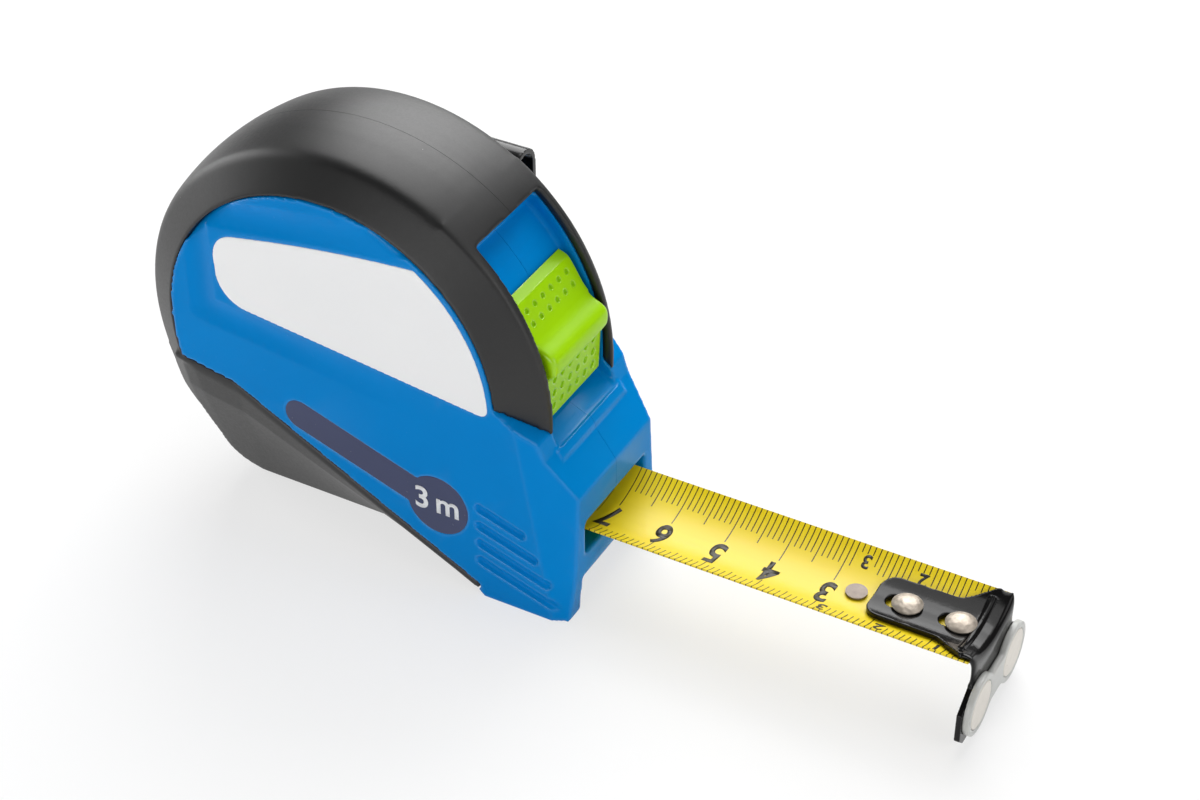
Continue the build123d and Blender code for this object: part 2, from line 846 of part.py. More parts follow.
# Belt clip: one bent steel strip on the far panel, with a driver hole in its free leg
bend_r = clip_gap / 2
bend_z = clip_top - bend_r - clip_thick
leg_in = case_half + clip_thick
free_in = leg_in + clip_gap
free_out = free_in + clip_thick
with BuildPart() as belt_clip:
    with BuildSketch(Plane.YZ.offset(clip_x - clip_width / 2)):
        with BuildLine():
            bend_y = leg_in + bend_r
            flare_z = clip_free_low + 2 * clip_flare
            Polyline((leg_in, bend_z), (leg_in, clip_low), (case_half, clip_low), (case_half, bend_z))
            ThreePointArc((case_half, bend_z), (bend_y, clip_top), (free_out, bend_z))
            Polyline(
                (free_out, bend_z),
                (free_out, flare_z),
                (free_out + clip_flare, clip_free_low),
                (free_in + clip_flare, clip_free_low),
                (free_in, flare_z),
                (free_in, bend_z),
            )
            ThreePointArc((free_in, bend_z), (bend_y, bend_z + bend_r), (leg_in, bend_z))
        make_face()
    extrude(amount=clip_width)
    with BuildSketch(Plane.XZ.offset(-leg_in)):
        with Locations((clip_x, clip_screw_z)):
            Circle(screw_r + fit_gap)
    extrude(amount=clip_thick, mode=Mode.SUBTRACT)
    with BuildSketch(Plane.XZ.offset(-free_out)):
        with Locations((clip_x, clip_screw_z)):
            Circle(clip_access_r)
    extrude(amount=clip_thick, mode=Mode.SUBTRACT)

with BuildPart() as clip_screw:
    with BuildSketch(Plane.XZ.offset(-leg_in)):
        with Locations((clip_x, clip_screw_z)):
            Circle(screw_r)
    extrude(amount=clip_thick + clip_screw_bite)
    with BuildSketch(Plane.XZ.offset(-leg_in)):
        with Locations((clip_x, clip_screw_z)):
            Circle(clip_head_r)
    extrude(amount=-clip_head)

pieces = {
    "near_shell": near_shell,
    "far_shell": far_shell,
    "near_grip": near_grip,
    "far_grip": far_grip,
    "case_screws": case_screws,
    "side_plate": side_plate,
    "size_plate": size_plate,
    "centre_post": centre_post,
    "reel": reel,
    "reel_cover": reel_cover,
    "return_spring": return_spring,
    "tape_coil": tape_coil,
    "tape_blade": tape_blade,
    "blade_end_strip": blade_end_strip,
    "end_hook": end_hook,
    "hook_rivets": hook_rivets,
    "stop_rivet": stop_rivet,
    "magnet_carrier": magnet_carrier,
    "hook_magnets": hook_magnets,
    "lock_button": lock_button,
    "brake_arm": brake_arm,
    "brake_pad": brake_pad,
    "belt_clip": belt_clip,
    "clip_screw": clip_screw,
}
for name, piece in pieces.items():
    piece.part.label = name
    export_step(piece.part, f"parts/{name}.step")
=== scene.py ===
# %% [markdown]
# # A pocket tape measure
# The object is a round case of two blue halves with black rubber moulded over them, a lime thumb
# lock, and a curved yellow steel tape that ends in a black hook with two magnets. The solids come
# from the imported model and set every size. This script dresses them: it softens their edges, makes
# the printed tape, and gives each piece its finish.

# %% Load the solids
import math

import bpy
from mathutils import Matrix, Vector


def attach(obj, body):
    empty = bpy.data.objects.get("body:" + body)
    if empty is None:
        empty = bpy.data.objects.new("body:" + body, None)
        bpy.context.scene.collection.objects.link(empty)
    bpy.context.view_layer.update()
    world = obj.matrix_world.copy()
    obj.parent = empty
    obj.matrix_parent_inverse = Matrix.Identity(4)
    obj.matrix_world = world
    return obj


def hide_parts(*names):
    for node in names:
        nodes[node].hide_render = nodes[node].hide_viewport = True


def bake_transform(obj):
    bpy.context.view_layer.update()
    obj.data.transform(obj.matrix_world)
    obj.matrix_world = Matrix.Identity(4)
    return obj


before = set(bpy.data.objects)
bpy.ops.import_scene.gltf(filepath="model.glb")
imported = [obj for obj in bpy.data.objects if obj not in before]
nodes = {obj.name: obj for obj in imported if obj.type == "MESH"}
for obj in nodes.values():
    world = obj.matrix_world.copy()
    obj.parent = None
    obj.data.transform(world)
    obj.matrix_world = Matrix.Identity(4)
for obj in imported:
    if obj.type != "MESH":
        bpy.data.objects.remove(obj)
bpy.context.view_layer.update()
MM = 0.001
print("solids:", len(nodes))

# %% [markdown]
# ## Working on one piece at a time
# An operator acts on everything that is selected, and the loaded solids start selected. So each
# step first clears the selection and then makes its own piece the active one. A few small helpers
# serve the whole lesson.


# %% Selection helpers
def focus(piece):
    """Selects one piece alone and makes it active."""
    if bpy.context.mode != "OBJECT":
        bpy.ops.object.mode_set(mode="OBJECT")
    bpy.ops.object.select_all(action="DESELECT")
    piece.select_set(True)
    bpy.context.view_layer.objects.active = piece


def edit(piece):
    """Opens one piece in edit mode with everything selected."""
    focus(piece)
    bpy.ops.object.mode_set(mode="EDIT")
    bpy.ops.mesh.select_mode(type="VERT")
    bpy.ops.mesh.select_all(action="SELECT")


def close_edit():
    """Goes back to object mode."""
    bpy.ops.object.mode_set(mode="OBJECT")


def pick(piece, test):
    """Selects the corners of the open piece whose place, in millimetres, passes a test."""
    bpy.ops.mesh.select_all(action="DESELECT")
    bpy.ops.object.mode_set(mode="OBJECT")
    for corner in piece.data.vertices:
        corner.select = test(corner.co / MM)
    bpy.ops.object.mode_set(mode="EDIT")


def apply_modifier(piece, kind, **settings):
    """Adds one modifier with its settings and applies it to the mesh."""
    focus(piece)
    modifier = piece.modifiers.new(kind.lower(), kind)
    for key, value in settings.items():
        setattr(modifier, key, value)
    bpy.ops.object.modifier_apply(modifier=modifier.name)


def join(name, parts):
    """Joins several meshes into one named piece."""
    focus(parts[0])
    for part in parts:
        part.select_set(True)
    bpy.ops.object.join()
    piece = bpy.context.object
    piece.name = name
    return piece


# %% [markdown]
# ## Moulded pieces with soft edges
# A moulding never has a perfectly sharp edge: light catches on a radius of a few tenths of a
# millimetre. A bevel could round it, but where many edges meet on these curved copies it folds over
# itself. So a copy of the solid is merged, remade from small even cells and relaxed, which rounds
# every edge alike, and then thinned out where the surface is flat.


# %% Copies of solids
def merged_copy(node, name):
    """Merged copy of one solid, with its flat faces joined into single faces."""
    piece = bpy.data.objects.new(name, nodes[node].data.copy())
    bpy.context.scene.collection.objects.link(piece)
    piece.data.materials.clear()
    focus(piece)
    bpy.ops.mesh.customdata_custom_splitnormals_clear()
    edit(piece)
    bpy.ops.mesh.remove_doubles(threshold=0.002 * MM)
    bpy.ops.mesh.dissolve_limited(angle_limit=math.radians(0.4))
    close_edit()
    return piece


def mould(piece, cell, rounds):
    """Remakes a piece from small cells and relaxes them, which rounds every edge as a mould does."""
    apply_modifier(piece, "REMESH", mode="VOXEL", voxel_size=cell * MM)
    apply_modifier(piece, "SMOOTH", factor=0.5, iterations=rounds)


def thin(piece, keep):
    """Thins out the cells where the surface is flat, and smooths the light over the rest."""
    apply_modifier(piece, "DECIMATE", decimate_type="COLLAPSE", ratio=keep)
    focus(piece)
    bpy.ops.object.shade_smooth_by_angle(angle=math.radians(50))


def relax(piece, test, rounds):
    """Relaxes only the corners that pass a test."""
    edit(piece)
    pick(piece, test)
    bpy.ops.mesh.vertices_smooth(factor=0.5, repeat=rounds)
    close_edit()


def carve(piece, tool, operation="DIFFERENCE"):
    """Cuts a tool out of a piece, or adds it, and removes the tool."""
    apply_modifier(
        piece, "BOOLEAN", object=tool, operation=operation, solver="EXACT", use_self=True
    )
    bpy.data.objects.remove(tool)


def dress(piece, body, slot, finish, *stands_for):
    """Puts a piece on its body, with its finish and the solids that it stands for."""
    piece.data.materials.clear()
    piece.data.materials.append(finish.material)
    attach(piece, body)
    if stands_for:
        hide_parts(*stands_for)
    print(piece.name, "on", body, "faces:", len(piece.data.polygons))


# %% [markdown]
# ## Sums of shader values
# A finish is a small sum: a base colour, plus a little unevenness, plus fine grain. Written as
# nodes alone, it takes a page to say what one line of arithmetic says. So one class wraps a socket
# and lets ordinary operators add the Math nodes.


# %% Shader sums
class Value:
    """A shader socket that takes part in sums."""

    def __init__(self, finish, socket):
        self.finish = finish
        self.socket = socket

    def sum(self, operation, first, second=0.0):
        return self.finish.add("ShaderNodeMath", {"operation": operation}, {0: first, 1: second})

    def __add__(self, other):
        return self.sum("ADD", self, other)

    __radd__ = __add__

    def __sub__(self, other):
        return self.sum("SUBTRACT", self, other)

    def __rsub__(self, other):
        return self.sum("SUBTRACT", other, self)

    def __mul__(self, other):
        return self.sum("MULTIPLY", self, other)

    __rmul__ = __mul__

    def __truediv__(self, other):
        return self.sum("DIVIDE", self, other)

    def __rtruediv__(self, other):
        return self.sum("DIVIDE", other, self)

    def __lt__(self, other):
        return self.sum("LESS_THAN", self, other)

    def __gt__(self, other):
        return self.sum("GREATER_THAN", self, other)

    def __abs__(self):
        return self.sum("ABSOLUTE", self)

    def off_centre(self):
        """Distance to the nearest whole number."""
        return abs((self + 0.5).part() - 0.5)

    def part(self):
        """Fraction above the whole number below."""
        return self.sum("FRACT", self)

    def largest(self, other):
        return self.sum("MAXIMUM", self, other)

    def ramp(self, low, high):
        """Smooth step from 0 at one value to 1 at another."""
        sockets = {"Value": self, "From Min": low, "From Max": high}
        settings = {"interpolation_type": "SMOOTHSTEP"}
        return self.finish.add("ShaderNodeMapRange", settings, sockets)


# %% [markdown]
# ## Finishes
# Every finish here starts from Blender's principled shader, and differs in its colour, its dullness
# and its grain. They could be set up by hand in the shader editor, one by one. A second class does
# it instead: one method adds any node, and the others say in plain words what they change.


# %% Finishes
class Finish:
    """One material, built around its principled shader."""

    def __init__(self, name, **constants):
        self.material = bpy.data.materials.new(name)
        self.material.use_nodes = True
        self.tree = self.material.node_tree
        self.shader = self.tree.nodes["Principled BSDF"]
        for key, value in constants.items():
            self.shader.inputs[key.replace("_", " ")].default_value = value
        print("finish:", name)

    def add(self, kind, settings, sockets, output=0):
        """Adds one node, sets it up, feeds its sockets and returns one output."""
        node = self.tree.nodes.new(kind)
        for key, value in settings.items():
            setattr(node, key, value)
        for key, value in sockets.items():
            self.feed(node.inputs[key], value)
        return Value(self, node.outputs[output])

    def feed(self, socket, value):
        """Links a value to a socket, or sets the socket to a constant."""
        if isinstance(value, Value):
            self.tree.links.new(value.socket, socket)
        else:
            socket.default_value = value

    def place(self):
        """Place on the piece, in metres."""
        return self.add("ShaderNodeTexCoord", {}, {}, "Object")

    def split(self, place):
        """The three parts of a place."""
        first = self.add("ShaderNodeSeparateXYZ", {}, {0: place})
        return [Value(self, socket) for socket in first.socket.node.outputs]

    def grain(self, size, detail=2.0):
        """Noise with features of one size in millimetres, from 0 to 1."""
        sockets = {"Vector": self.place(), "Scale": 1 / (size * MM), "Detail": detail}
        return self.add("ShaderNodeTexNoise", {}, sockets, "Fac")

    def specks(self, spacing, radius):
        """Small round specks, one to each cell of the spacing in millimetres."""
        sockets = {"Vector": self.place(), "Scale": 1 / (spacing * MM)}
        return self.add("ShaderNodeTexVoronoi", {}, sockets, "Distance") < radius / spacing

    def blend(self, share, low, high):
        """Mixes two colours by a share from 0 to 1."""
        sockets = {0: share, 6: low, 7: high}
        return self.add("ShaderNodeMix", {"data_type": "RGBA"}, sockets, 2)

    def drift(self, patch, low, high):
        """Colour that drifts between two shades over patches of one size in millimetres."""
        return self.blend(self.grain(patch), shade(*low), shade(*high))

    def colour(self, value):
        self.feed(self.shader.inputs["Base Color"], value)

    def roughness(self, value):
        self.feed(self.shader.inputs["Roughness"], value)

    def uneven(self, dullness, spread, size):
        """Roughness that rises from a dullness by up to a spread, over grain of one size."""
        self.roughness(dullness + spread * self.grain(size))

    def relief(self, height, depth):
        """Bumps the surface by a height from 0 to 1 times a depth in millimetres."""
        sockets = {"Height": height, "Distance": depth * MM, "Strength": 1.0}
        self.feed(self.shader.inputs["Normal"], self.add("ShaderNodeBump", {}, sockets))

    def polish_edges(self, weight, dullness):
        """Gives edges that fingers and packing have polished a clear shine of their own."""
        mark = self.add("ShaderNodeAttribute", {"attribute_name": "edge"}, {}, "Fac")
        self.feed(self.shader.inputs["Coat Weight"], mark * weight)
        self.shader.inputs["Coat Roughness"].default_value = dullness


def shade(red, green, blue):
    """Colour as a screen shows it, from 0 to 255, as the linear values that a shader takes."""
    linear = []
    for value in (red, green, blue):
        share = value / 255
        linear.append(share / 12.92 if share <= 0.04045 else ((share + 0.055) / 1.055) ** 2.4)
    return (*linear, 1.0)


def tinted(name, patch, low, high, **constants):
    """Finish whose only colour is one that drifts between two shades."""
    finish = Finish(name, **constants)
    finish.colour(finish.drift(patch, low, high))
    return finish


# %% [markdown]
# ## Blue case plastic
# The halves are a satin blue moulding: an even colour, a soft highlight and a very fine grain that
# only shows in the highlight. A flat colour would look like paint on paper, so the colour drifts a
# little over a centimetre or two, and the roughness over less than a millimetre. Handling polishes
# the edges, so a thin coat shines there, weighed by a mark that each mesh carries for how sharply
# it bends.

# %% Blue plastic
blue = tinted("blue_plastic_satin", 14, (0, 125, 200), (0, 131, 207), Specular_IOR_Level=0.04)
blue.uneven(0.2, 0.1, 0.8)
blue.relief(blue.grain(0.35), 0.004)
blue.polish_edges(0.4, 0.16)

# %% [markdown]
# ## Lime plastic and black rubber
# The button is a lime moulding with the same fine grain. The rubber is nearly black, far duller,
# and coarser to the touch, and it holds a little dust. They could share one material with two
# colours, but their grain and dullness differ, so each has its own.

# %% Lime and rubber
lime = tinted("lime_plastic_satin", 6, (150, 204, 0), (158, 211, 1), Specular_IOR_Level=0.15)
lime.uneven(0.3, 0.12, 0.6)
lime.relief(lime.grain(0.3), 0.004)
lime.polish_edges(0.8, 0.2)

rubber = Finish("black_rubber", Specular_IOR_Level=0.55)
dust = rubber.specks(3.1, 0.07) * (rubber.grain(9) > 0.56)
rubber_tone = rubber.drift(11, (12, 12, 13), (19, 19, 19))
rubber.colour(rubber.blend(dust * 0.5, rubber_tone, shade(150, 150, 146)))
rubber.uneven(0.38, 0.14, 0.5)
rubber.relief(rubber.grain(0.22, 3.0), 0.009)

# %% [markdown]
# ## Painted and plated metal
# The hook and the clip are steel under thick glossy black paint that pools a little along its
# edges. One recipe gives both paints, and the hook's is the glossier. Rivets and screws are nickel
# plated, warm and a little cloudy. The magnets are plated too but look chalky, because the plating
# is matt and finely pitted. A plain metal would mirror the studio, so each has its own dullness.


# %% Metals
def gloss_black(name, gloss, dullness):
    """Thick black paint with its own gloss."""
    paint = tinted(name, 4, (14, 14, 15), (22, 21, 21), Specular_IOR_Level=gloss)
    paint.uneven(dullness, 0.1, 1.4)
    paint.relief(paint.grain(1.1), 0.012)
    return paint


clip_paint = gloss_black("black_paint_clip", 0.35, 0.16)
hook_paint = gloss_black("black_paint_hook", 0.2, 0.09)

nickel = tinted("nickel_plate", 0.9, (158, 148, 136), (200, 190, 178), Metallic=1.0)
nickel.uneven(0.46, 0.2, 0.5)
nickel.relief(nickel.grain(1.3, 1.0), 0.2)

magnet = Finish("magnet_plate", Metallic=0.2)
pits = magnet.specks(0.9, 0.1) * (magnet.grain(2.5) > 0.55)
magnet_tone = magnet.drift(1.5, (212, 207, 198), (224, 219, 211))
magnet.colour(magnet.blend(pits * 0.5, magnet_tone, shade(120, 112, 100)))
magnet.uneven(0.4, 0.15, 0.7)

dull_steel = tinted("dull_steel", 0.8, (112, 102, 96), (140, 129, 121), Metallic=0.6)
dull_steel.uneven(0.45, 0.15, 0.5)

spring_steel = tinted("spring_steel", 2, (120, 124, 130), (150, 153, 158), Metallic=1.0)
spring_steel.uneven(0.25, 0.2, 1.5)

# %% [markdown]
# ## Plates, pale plastic and ink
# The magnets sit in a pale, slightly clear plastic. The two plates on the near side look like foil
# under a glossy film, one white and one dark blue, and the print is plain ink. All are so even that
# a flat colour would nearly do. A slow drift of colour keeps them from looking drawn.

# %% Plates, plastics and ink
pale_plastic = tinted(
    "pale_clear_plastic", 3, (192, 193, 190), (205, 206, 202), Transmission_Weight=0.2, IOR=1.45
)
pale_plastic.uneven(0.25, 0.12, 0.9)

inner_plastic = tinted("inner_plastic", 3, (88, 88, 92), (98, 98, 102))
inner_plastic.uneven(0.4, 0.15, 0.8)

plate_gloss = 0.4
white_plate = tinted(
    "white_plate_gloss", 20, (236, 237, 238), (242, 242, 242), Specular_IOR_Level=plate_gloss
)
white_plate.uneven(0.2, 0.08, 1.2)
dark_plate = tinted(
    "dark_plate_gloss", 16, (46, 54, 88), (54, 62, 98), Specular_IOR_Level=plate_gloss
)
dark_plate.uneven(0.2, 0.1, 1.0)

white_ink = tinted("white_ink", 0.5, (226, 228, 232), (236, 238, 240))
black_ink = tinted("black_ink", 0.5, (34, 31, 24), (44, 40, 32))

# %% [markdown]
# ## The blue halves
# Each half of the case is a hard blue shell. It is a copy of the solid with softened edges, which
# also draws the groove where rubber meets plastic. Before the softening the finger grooves are cut
# with round-ended bars, a low lip is added under the button, and the panel's lower edge gives way
# to a rim of rubber. These could be a bump, but they show in the outline, so they are real shapes.

# %% Tools for the case
groove_y = 16.25
groove_front_x = 34.8
groove_front_z = 16.55
groove_step_x = 2.4
groove_step_z = 4.55
groove_rear_x = 26.9
groove_slope = 0.32
groove_r = 0.95
rim_path = ((-34, 29.4), (-22.2, 27.2), (25.6, 1.85))


def capsule(start, end, radius):
    """Round-ended bar between two places: a ball whose front half is pulled along."""
    bpy.ops.object.select_all(action="DESELECT")
    bpy.ops.mesh.primitive_uv_sphere_add(
        segments=16, ring_count=10, radius=radius * MM, location=start * MM
    )
    bar = bpy.context.object
    bpy.ops.object.transform_apply(location=True)
    edit(bar)
    pick(bar, lambda p: (p - start).dot(end - start) > 0.001)
    bpy.ops.transform.translate(value=(end - start) * MM)
    close_edit()
    return bar


def grooves(side):
    """Four finger grooves low on the nose of one half, each lower and longer than the last."""
    bars = []
    for row in range(4):
        front_x = groove_front_x + groove_step_x * row
        front_z = groove_front_z - groove_step_z * row
        front = Vector((front_x, side * groove_y, front_z))
        length = front.x - groove_rear_x
        rear = front + Vector((-length, 0, groove_slope * length))
        bars.append(capsule(front, rear, groove_r))
    return join("groove_tool", bars)


def rim_bead(side, out, radius):
    """Bead along the lower edge of one panel, where the rubber of the heel laps up to the blue."""
    tail, corner, tip = (Vector((x, side * out, z)) for x, z in rim_path)
    return join("rim_tool", [capsule(tail, corner, radius), capsule(corner, tip, radius)])


def ledge_lip():
    """Low lip along the front edge of the ledge under the button."""
    bpy.ops.object.select_all(action="DESELECT")
    place = Vector((39.45, 0, 31.5)) * MM
    turned = (0, math.radians(57.2), 0)
    bpy.ops.mesh.primitive_cube_add(
        size=MM, location=place, rotation=turned, scale=(2.0, 21.6, 0.8)
    )
    return bpy.context.object


# %% [markdown]
# ## The seam
# The halves meet in a hairline round the middle of the case. Softening would open it into a ditch.
# The edge could be left out of the softening, but that is hard to pick on so many small cells. So
# each half is first carried past the middle plane, and pressed flat on it afterwards.

# %% Seam between the halves
seam_stretch = 1.4
seam_hair = 0.03


def stretch_seam(piece, side):
    """Carries the face on the middle plane past it, so that only what lies past it gets rounded."""
    edit(piece)
    pick(piece, lambda p: abs(p.y) < 0.01)
    bpy.ops.mesh.select_mode(type="FACE")
    past = (0, -side * seam_stretch * MM, 0)
    bpy.ops.mesh.extrude_region_move(TRANSFORM_OT_translate={"value": past})
    close_edit()


def trim_seam(piece, side):
    """Presses all that lies past the middle plane flat onto it, a hair short of the other half."""
    edit(piece)
    pick(piece, lambda p: p.y * side < seam_hair)
    bpy.ops.transform.resize(value=(1, 0, 1), center_override=(0, side * seam_hair * MM, 0))
    bpy.ops.mesh.remove_doubles(threshold=0.01 * MM)
    close_edit()


# %% [markdown]
# ## The pillow under the white plate
# The white plate lies on a low pillow, which the light shows as a soft dark band round it. A bump
# could fake the slope, but the mesh would stay flat, so the panel is sunk a little round the plate.
# Proportional editing makes the slope, as a soft thumb would, and shorter and shorter runs let the
# moat fade out towards the nose.

# %% Pillow under the white plate
plate_x = -1.89
plate_z = 38.44
plate_r = 31.06
plate_rear_x = -23.6
moat_ends = (16, 8, 0, -8)
moat_step = 0.22
moat_slope = 2.6
moat_from = 2.6
moat_to = 4.2
soft_from = 1.2
soft_to = 5.6
soft_end = 18


def from_plate(p):
    """Distance of a place on the near panel from the white plate's outline, positive outside."""
    reach = math.hypot(p.x - plate_x, p.z - plate_z) - plate_r
    # The top and bottom edges are straight, each given by its normal and a point on it.
    above = 0.99 * (p.z - 61.6) - 0.144 * (p.x + 3.8)
    below = 0.993 * (38.7 - p.z) + 0.121 * (29.2 - p.x)
    return max(reach, above, below, plate_rear_x - p.x)


def sink_moat(piece):
    """Sinks a soft moat into the near panel round the plate."""
    edit(piece)
    for end_x in moat_ends:
        pick(piece, lambda p: p.y < -15.2 and moat_from < from_plate(p) < moat_to and p.x < end_x)
        bpy.ops.transform.translate(
            value=(0, moat_step * MM, 0),
            use_proportional_edit=True,
            use_proportional_connected=True,
            proportional_edit_falloff="SMOOTH",
            proportional_size=moat_slope * MM,
        )
    close_edit()

    def round_moat(p):
        return p.y < -14.6 and soft_from < from_plate(p) < soft_to and p.x < soft_end

    relax(piece, round_moat, 40)


# %% [markdown]
# ## Putting the halves together
# Now both shells can be made. Their edges are polished by handling. A shader could guess where they
# are from the pointiness of the mesh, but that changes with how dense the mesh is. So the mesh
# carries a mark of its own, worked out from how far the normals turn along each edge.


# %% Shells
def mark_edges(piece, low=0.25, high=1.2):
    """Stores how sharply each corner stands out: 0 below the low bend per mm, 1 above the high."""
    mesh = piece.data
    bends = [0.0] * len(mesh.vertices)
    for edge in mesh.edges:
        first, second = (mesh.vertices[i] for i in edge.vertices)
        step = second.co - first.co
        bend = (second.normal - first.normal).dot(step) / max(step.length_squared, 1e-12) * MM
        for i in edge.vertices:
            bends[i] = max(bends[i], bend)
    marks = mesh.attributes.new("edge", "FLOAT", "POINT")
    shares = [min(max((bend - low) / (high - low), 0), 1) for bend in bends]
    marks.data.foreach_set("value", shares)


halves = (("near", -1), ("far", 1))
case_cell = 0.36
for name, side in halves:
    shell = merged_copy(f"{name}_shell", f"{name}_case_half")
    stretch_seam(shell, side)
    carve(shell, grooves(side))
    carve(shell, rim_bead(side, out=15.65, radius=1.05))
    carve(shell, ledge_lip(), "UNION")
    mould(shell, case_cell, rounds=3)
    if side < 0:
        sink_moat(shell)
    trim_seam(shell, side)
    thin(shell, keep=0.3)
    mark_edges(shell)
    dress(shell, "case", "blue_plastic", blue, f"{name}_shell")

# %% [markdown]
# ## Rubber skins
# Black rubber is moulded over the crown, the side band and the heel of each half, and laps up in a
# thin bead along the panel's lower edge. It is softer than the shell in form too: its shoulder is
# round, with no edge at all. A larger cell would round everything, so only the shoulder is relaxed
# further.

# %% Skins
crown_x = -1.76
crown_z = 37.19


def on_shoulder(p):
    """Tells whether a place lies where the crown of the skin turns into its side band."""
    x, z = p.x - crown_x, p.z - crown_z
    on_crown = 58 < math.degrees(math.atan2(z, x)) % 360 < 195 and math.hypot(x, z) > 37
    return on_crown and 5.5 < abs(p.y) < 14


for name, side in halves:
    skin = merged_copy(f"{name}_grip", f"{name}_rubber_skin")
    stretch_seam(skin, side)
    carve(skin, rim_bead(side, out=15.25, radius=0.92), "UNION")
    mould(skin, case_cell, rounds=6)
    relax(skin, on_shoulder, 35)
    trim_seam(skin, side)
    thin(skin, keep=0.3)
    dress(skin, "case", "soft_grip", rubber, f"{name}_grip")

# %% [markdown]
# ## Plates, clip and magnets
# These are simple shapes whose solids are right, and only want softer edges: two plates let into
# the near side, the bent strip of the belt clip, and the frame on the hook with its two magnets.
# One loop makes them all from a list that gives each its cell and its rounds of relaxing. The dark
# plate is let in a hair deeper, to leave room for the lettering on it.

# %% Plates, clip, carrier and magnets
softened = [
    ("side_plate", "white_side_plate", "case", "white_plate", white_plate, 0.16, 3),
    ("size_plate", "dark_size_plate", "case", "dark_plate", dark_plate, 0.14, 3),
    ("belt_clip", "belt_clip_strip", "case", "black_steel", clip_paint, 0.2, 4),
    ("magnet_carrier", "magnet_frame", "hook", "pale_plastic", pale_plastic, 0.18, 10),
    ("hook_magnets", "magnet_discs", "hook", "magnet", magnet, 0.16, 3),
]
plate_sink = 0.07
for node, name, body, slot, finish, cell, rounds in softened:
    piece = merged_copy(node, name)
    mould(piece, cell, rounds)
    if node == "size_plate":
        edit(piece)
        bpy.ops.transform.translate(value=(0, plate_sink * MM, 0))
        close_edit()
    thin(piece, keep=0.35)
    dress(piece, body, slot, finish, node)

# %% [markdown]
# ## End hook
# The hook is pressed from one steel sheet. Just before its bend a bead is pressed across it to
# stiffen it. The bead follows the trough of the tape, so it is a piece cut from a thin ring about
# the trough's axis, added to the copy of the solid before the edges are rounded.

# %% Bead of the hook
trough_z = 31.913
bead_x = 109.7
bead_half = 7.2
bpy.ops.object.select_all(action="DESELECT")
bpy.ops.mesh.primitive_torus_add(
    major_segments=180,
    minor_segments=14,
    major_radius=16.75 * MM,
    minor_radius=0.6 * MM,
    location=(bead_x * MM, 0, trough_z * MM),
    rotation=(0, math.pi / 2, 0),
)
bead = bpy.context.object
bpy.ops.object.transform_apply(location=True, rotation=True)
edit(bead)
pick(bead, lambda p: p.z > 19 or abs(p.y) > bead_half)
bpy.ops.mesh.delete(type="VERT")
bpy.ops.mesh.select_all(action="SELECT")
bpy.ops.mesh.region_to_loop()
bpy.ops.mesh.fill()
close_edit()
print("bead faces:", len(bead.data.polygons))

# %% Hook
bend_x = 110.4
bend_z = 11.5
hook = merged_copy("end_hook", "end_hook_plate")
carve(hook, bead, "UNION")
mould(hook, cell=0.15, rounds=8)
relax(hook, lambda p: p.x > bend_x and p.z > bend_z, 150)
thin(hook, keep=0.4)
dress(hook, "hook", "black_steel", hook_paint, "end_hook")

# %% [markdown]
# ## Thumb button
# The button has a dished upper pad, a rounded lip and a lower pad, and both pads carry rows of
# small round pits for grip. The pits could be a bump, but they are deep enough to show their own
# shade, so rows of small balls are cut out of a copy of the solid. One ball of each size is made,
# and a ray cast at the pad from outside says where each copy of it goes.

# %% Pits for the button
axis_z = 38.4
pit_rows = ((0.5, (27.9, 24.0)), (0.62, (7.4, 3.2, -1.0)))
pit_count = 6
pit_step = 2.6
pit_depth = 0.12


def on_track(radius, angle):
    """Place in the middle plane, in millimetres, at a radius and an angle about the reel axis."""
    turn = math.radians(angle)
    return Vector((radius * math.cos(turn), 0, axis_z + radius * math.sin(turn)))


def ball(radius):
    """Small ball at the origin, to be copied."""
    bpy.ops.object.select_all(action="DESELECT")
    bpy.ops.mesh.primitive_uv_sphere_add(segments=12, ring_count=8, radius=radius * MM)
    return bpy.context.object


button = merged_copy("lock_button", "thumb_button")
pit_balls = []
for radius, angles in pit_rows:
    first_ball = ball(radius)
    for angle in angles:
        for step in range(pit_count):
            across = Vector((0, -6.5 + pit_step * step, 0))
            start = on_track(60, angle) + across
            inward = on_track(10, angle) + across - start
            _, place, _, _ = button.ray_cast(start * MM, inward)
            copy = first_ball.copy()
            copy.data = first_ball.data.copy()
            copy.location = place + inward.normalized() * pit_depth * MM
            bpy.context.scene.collection.objects.link(copy)
            pit_balls.append(copy)
    bpy.data.objects.remove(first_ball)
print("pits:", len(pit_balls))

# %% Button
lip_r = 35.5


def on_lip(p):
    """Tells whether a place lies on the raised lip between the two pads."""
    x, z = p.x, p.z - axis_z
    return 8.8 < math.degrees(math.atan2(z, x)) < 20 and math.hypot(x, z) > lip_r


carve(button, join("pits_tool", pit_balls))
mould(button, cell=0.13, rounds=5)
relax(button, on_lip, 160)
thin(button, keep=0.4)
mark_edges(button)
dress(button, "lock", "lime_plastic", lime, "lock_button")

# %% [markdown]
# ## Screws with a cross recess
# Four screws join the halves from the clip side, and one holds the clip. Their solids are plain
# cylinders with few edges, so here a bevel does well. Two crossed bars cut out of each head give
# the driver something to grip.

# %% Cross recesses
screw_r = 33.9
case_top = 9.8
clip_top = 17.9
heads = [(on_track(screw_r, angle), case_top) for angle in (62, 125, 232)]
heads += [(Vector((22.0, 0, 6.48)), case_top), (Vector((9.5, 0, 32.5)), clip_top)]


